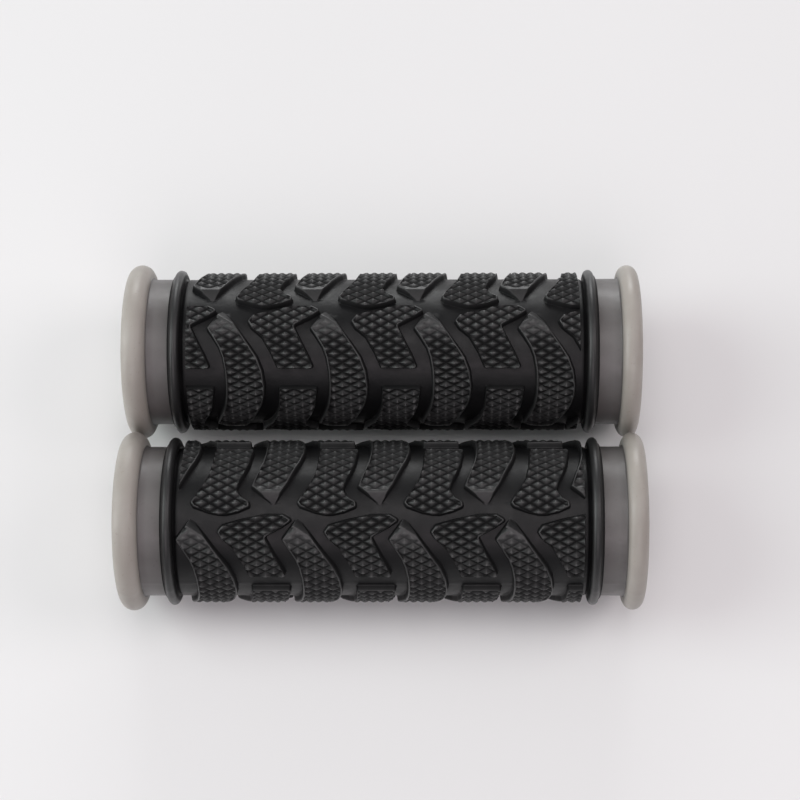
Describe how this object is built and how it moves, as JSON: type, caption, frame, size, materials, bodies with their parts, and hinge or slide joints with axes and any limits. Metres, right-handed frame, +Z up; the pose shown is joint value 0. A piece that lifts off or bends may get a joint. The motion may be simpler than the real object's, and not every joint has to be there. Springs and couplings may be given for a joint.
{
  "type": "handlebar grip pair",
  "caption": "Pair of short bicycle handlebar grips, each a grey flanged tube core, closed at its outer end, with a black moulded tread sleeve between raised rings.",
  "frame": {"origin": "on the surface the grips lie on, midway between the two grips and midway along them", "axes": "+X along both grips towards their open mouths, +Y from the front grip to the rear grip, +Z up"},
  "size_m": [0.092, 0.0636, 0.0317],
  "materials": {
    "grey_rubber": "satin moulded rubber, slightly translucent at the flanges",
    "black_rubber": "matte moulded rubber with a fine diamond knurl on the tread blocks"
  },
  "bodies": {
    "front_grip": {"front_core": "grey_rubber", "front_tread_sleeve": "black_rubber"},
    "rear_grip": {"rear_core": "grey_rubber", "rear_tread_sleeve": "black_rubber"}
  },
  "joints": [
    {"name": "rear_grip_slide", "type": "slide", "parent": "front_grip", "child": "rear_grip", "axis": [0, 1, 0], "range_m": [0, 0.06]}
  ]
}
